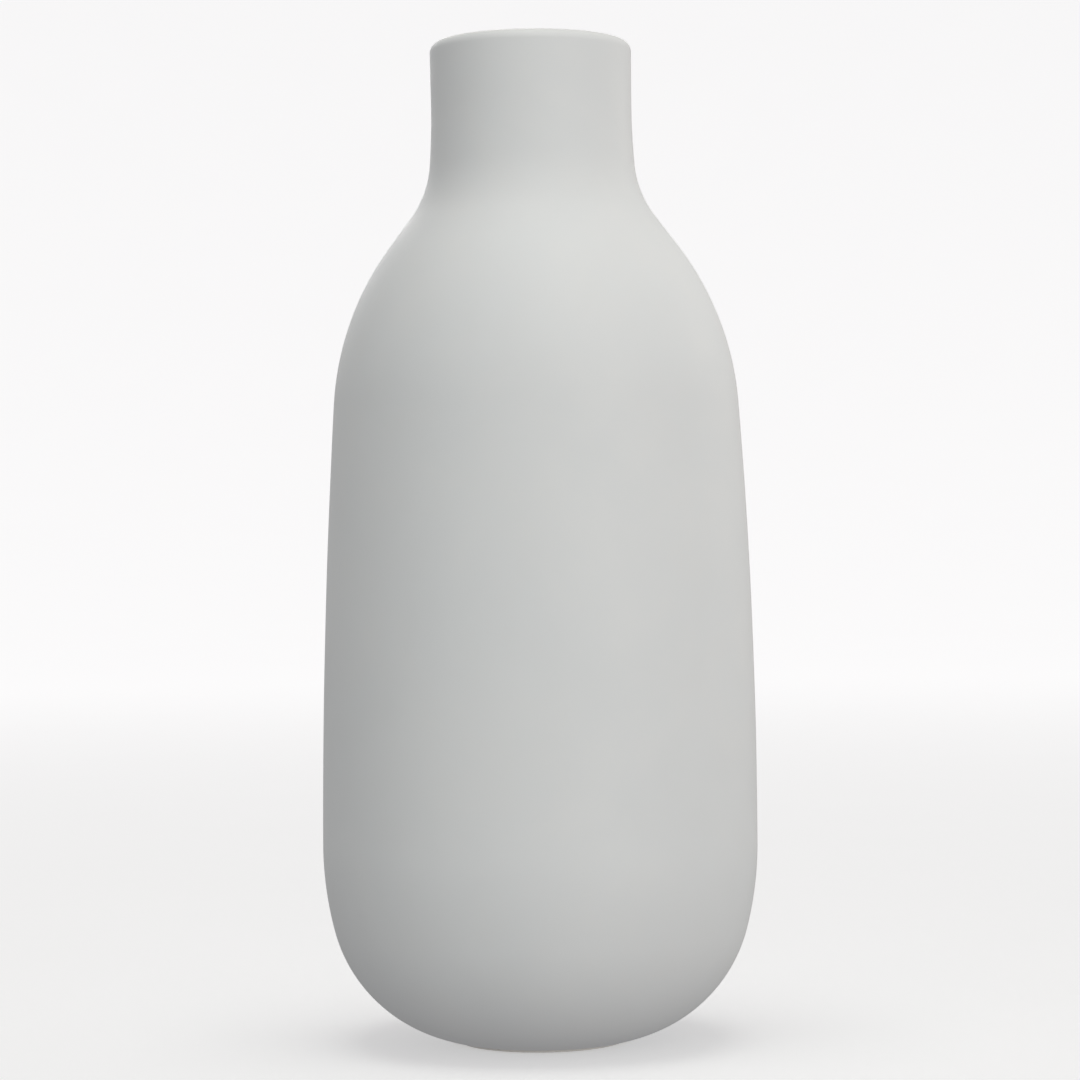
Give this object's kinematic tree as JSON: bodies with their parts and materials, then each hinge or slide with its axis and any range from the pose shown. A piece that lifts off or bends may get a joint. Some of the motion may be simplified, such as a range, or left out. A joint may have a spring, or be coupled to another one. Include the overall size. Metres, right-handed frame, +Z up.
{
  "type": "bud vase",
  "caption": "Bottle-shaped ceramic bud vase with a straight neck, sloping shoulder, full body and rounded base, matt outside and glazed inside.",
  "frame": {"origin": "middle of the foot, on the surface that the vase stands on", "axes": "+Z up the vase's axis, towards the mouth"},
  "size_m": [0.0774, 0.0774, 0.178],
  "materials": {
    "clay": "fired white clay, bare and finely ground on the foot",
    "matt_glaze": "smooth matt white glaze",
    "gloss_glaze": "clear gloss over white"
  },
  "bodies": {
    "root": {"vase_body": "clay", "outer_glaze": "matt_glaze", "inner_glaze": "gloss_glaze"}
  },
  "joints": []
}
